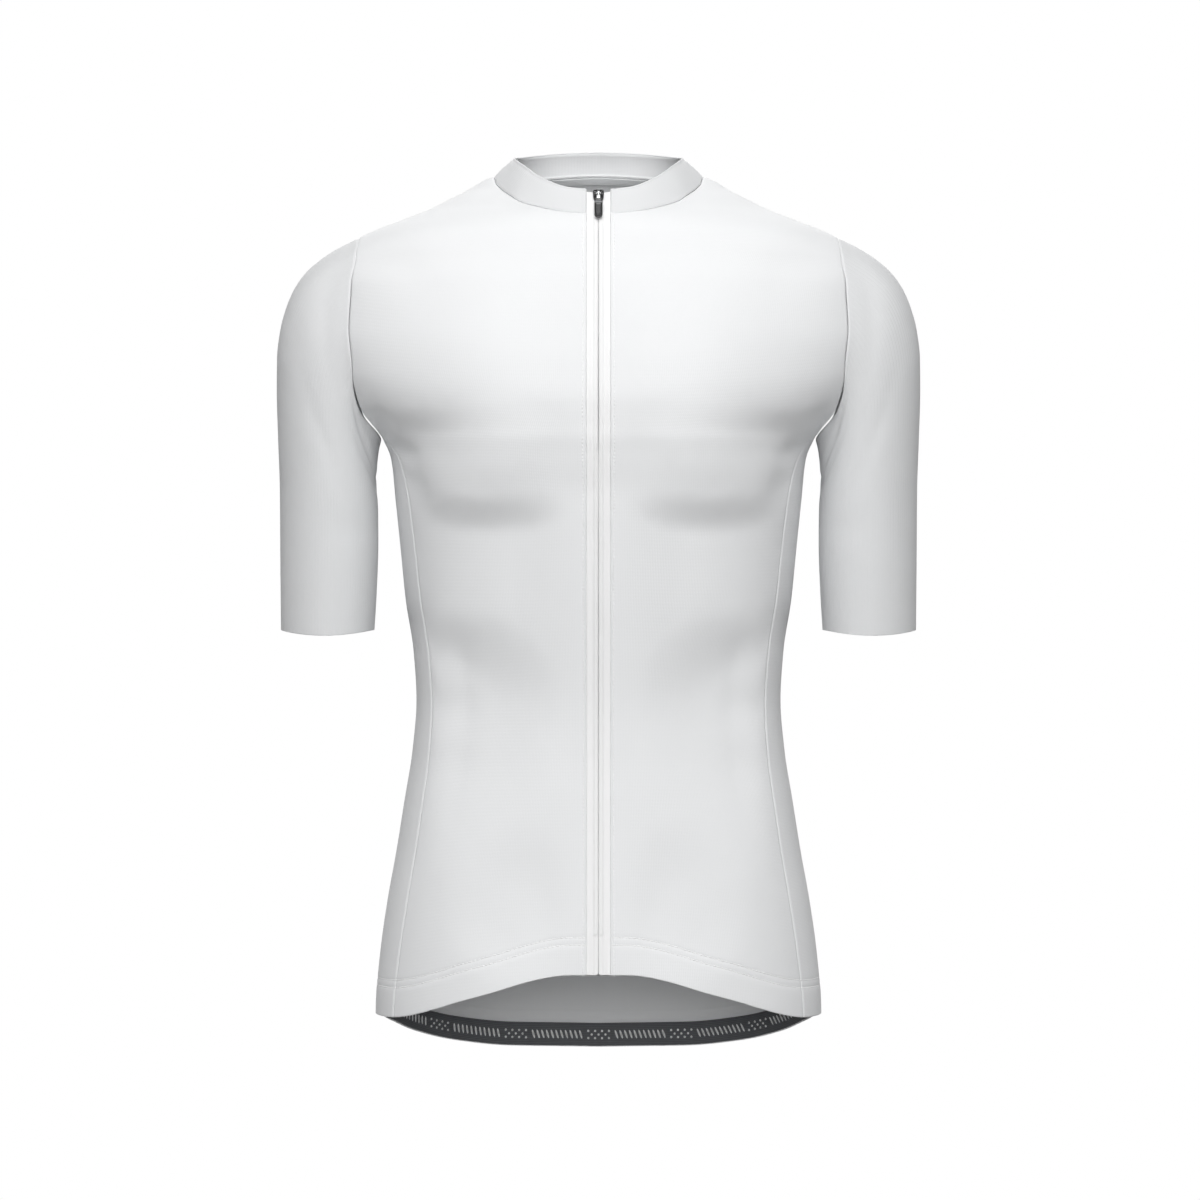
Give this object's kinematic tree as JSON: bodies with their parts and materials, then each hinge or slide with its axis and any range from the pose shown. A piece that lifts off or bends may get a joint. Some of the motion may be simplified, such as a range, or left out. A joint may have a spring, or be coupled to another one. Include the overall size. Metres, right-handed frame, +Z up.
{
  "type": "cycling jersey",
  "caption": "Hollow short-sleeved cycling jersey in its worn shape, with a stand collar, a full front zip with a swinging pull, side panels and back pockets.",
  "frame": {"origin": "middle of the neck opening, level with the points where neck and shoulder meet, where the wearer's shoulders hold the jersey", "axes": "+Z up out of the neck opening, -Y out of the front, +X towards the wearer's left"},
  "size_m": [0.4498, 0.2349, 0.644],
  "materials": {
    "jersey_fabric": "smooth matt warp knit",
    "sleeve_fabric": "matt warp knit with fine upright ribs",
    "zip_tape": "woven tape with a nylon coil",
    "gripper_elastic": "matt elastic with small grip dots",
    "slider_metal": "glossy black enamel"
  },
  "bodies": {
    "jersey": {"front_left": "jersey_fabric", "front_right": "jersey_fabric", "back": "jersey_fabric", "side_left": "jersey_fabric", "side_right": "jersey_fabric", "sleeve_left": "sleeve_fabric", "sleeve_right": "sleeve_fabric", "collar": "jersey_fabric", "neck_tape": "jersey_fabric", "zip_tape_left": "zip_tape", "zip_tape_right": "zip_tape", "hem_gripper": "gripper_elastic", "pocket_centre": "jersey_fabric", "pocket_left": "jersey_fabric", "pocket_right": "jersey_fabric", "zip_slider": "slider_metal"},
    "pull": {"zip_pull": "slider_metal"}
  },
  "joints": [
    {"name": "pull_hinge", "type": "hinge", "parent": "jersey", "child": "pull", "pos_m": [0, -0.06684, -0.01857], "axis": [-1, 0, 0], "range_deg": [0, 150]}
  ]
}
